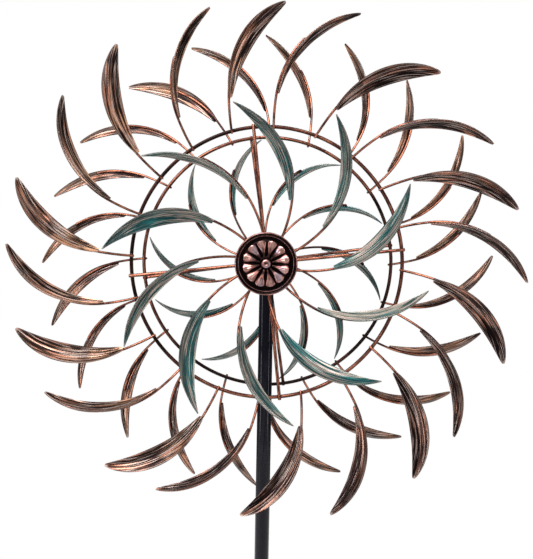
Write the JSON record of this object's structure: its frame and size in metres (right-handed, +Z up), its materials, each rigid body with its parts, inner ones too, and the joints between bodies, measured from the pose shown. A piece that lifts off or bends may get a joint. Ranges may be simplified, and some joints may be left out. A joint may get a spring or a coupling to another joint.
{
  "type": "wind spinner",
  "caption": "Garden wind spinner: two back-to-back rotors of curved copper and verdigris leaves on wire arms, free to spin on one axle atop a black pole with a pronged ground fork.",
  "frame": {"origin": "centre of the underside of the step plate, the ground line; the prongs reach below it", "axes": "+Z up along the pole, -Y the front rotor's outside, +Y the back rotor's outside, both rotors turn about Y"},
  "size_m": [0.6102, 0.3199, 1.9028],
  "materials": {
    "gloss_black": "gloss black powder coat",
    "antique_copper": "antique copper paint over black, rubbed bright on the high spots",
    "bronze_leaf": "dark bronze with lengthwise dry-brushed copper streaks, satin",
    "verdigris_leaf": "verdigris teal with grey-copper rubbed ridges and edges, satin",
    "zinc_steel": "zinc plated",
    "sintered_bronze": "matt sintered bronze"
  },
  "bodies": {
    "stand": {"ground_fork": "gloss_black", "pole_lower": "gloss_black", "pole_middle": "gloss_black", "pole_upper": "gloss_black", "axle": "zinc_steel", "front_lock_nut": "zinc_steel", "back_lock_nut": "zinc_steel"},
    "front_rotor": {"front_hub_tube": "antique_copper", "front_inner_bearing": "sintered_bronze", "front_outer_bearing": "sintered_bronze", "front_wheel_frame": "antique_copper", "front_inner_flower": "verdigris_leaf", "front_hub_cover": "antique_copper", "front_leaf_01": "bronze_leaf", "front_leaf_02": "bronze_leaf", "front_leaf_03": "bronze_leaf", "front_leaf_04": "bronze_leaf", "front_leaf_05": "bronze_leaf", "front_leaf_06": "bronze_leaf", "front_leaf_07": "bronze_leaf", "front_leaf_08": "bronze_leaf", "front_leaf_09": "bronze_leaf", "front_leaf_10": "bronze_leaf", "front_leaf_11": "bronze_leaf", "front_leaf_12": "bronze_leaf", "front_leaf_13": "bronze_leaf", "front_leaf_14": "bronze_leaf", "front_leaf_15": "bronze_leaf", "front_leaf_16": "bronze_leaf", "front_leaf_17": "bronze_leaf", "front_leaf_18": "bronze_leaf", "front_leaf_19": "bronze_leaf", "front_leaf_20": "bronze_leaf"},
    "back_rotor": {"back_hub_tube": "antique_copper", "back_inner_bearing": "sintered_bronze", "back_outer_bearing": "sintered_bronze", "back_wheel_frame": "antique_copper", "back_inner_flower": "verdigris_leaf", "back_hub_cover": "antique_copper", "back_leaf_01": "bronze_leaf", "back_leaf_02": "bronze_leaf", "back_leaf_03": "bronze_leaf", "back_leaf_04": "bronze_leaf", "back_leaf_05": "bronze_leaf", "back_leaf_06": "bronze_leaf", "back_leaf_07": "bronze_leaf", "back_leaf_08": "bronze_leaf", "back_leaf_09": "bronze_leaf", "back_leaf_10": "bronze_leaf", "back_leaf_11": "bronze_leaf", "back_leaf_12": "bronze_leaf", "back_leaf_13": "bronze_leaf", "back_leaf_14": "bronze_leaf", "back_leaf_15": "bronze_leaf", "back_leaf_16": "bronze_leaf", "back_leaf_17": "bronze_leaf", "back_leaf_18": "bronze_leaf", "back_leaf_19": "bronze_leaf", "back_leaf_20": "bronze_leaf"}
  },
  "joints": [
    {"name": "front_rotor_spin", "type": "hinge", "parent": "stand", "child": "front_rotor", "pos_m": [0, -0.06, 1.41], "axis": [0, -1, 0], "continuous": true},
    {"name": "back_rotor_spin", "type": "hinge", "parent": "stand", "child": "back_rotor", "pos_m": [0, 0.06, 1.41], "axis": [0, 1, 0], "continuous": true}
  ]
}
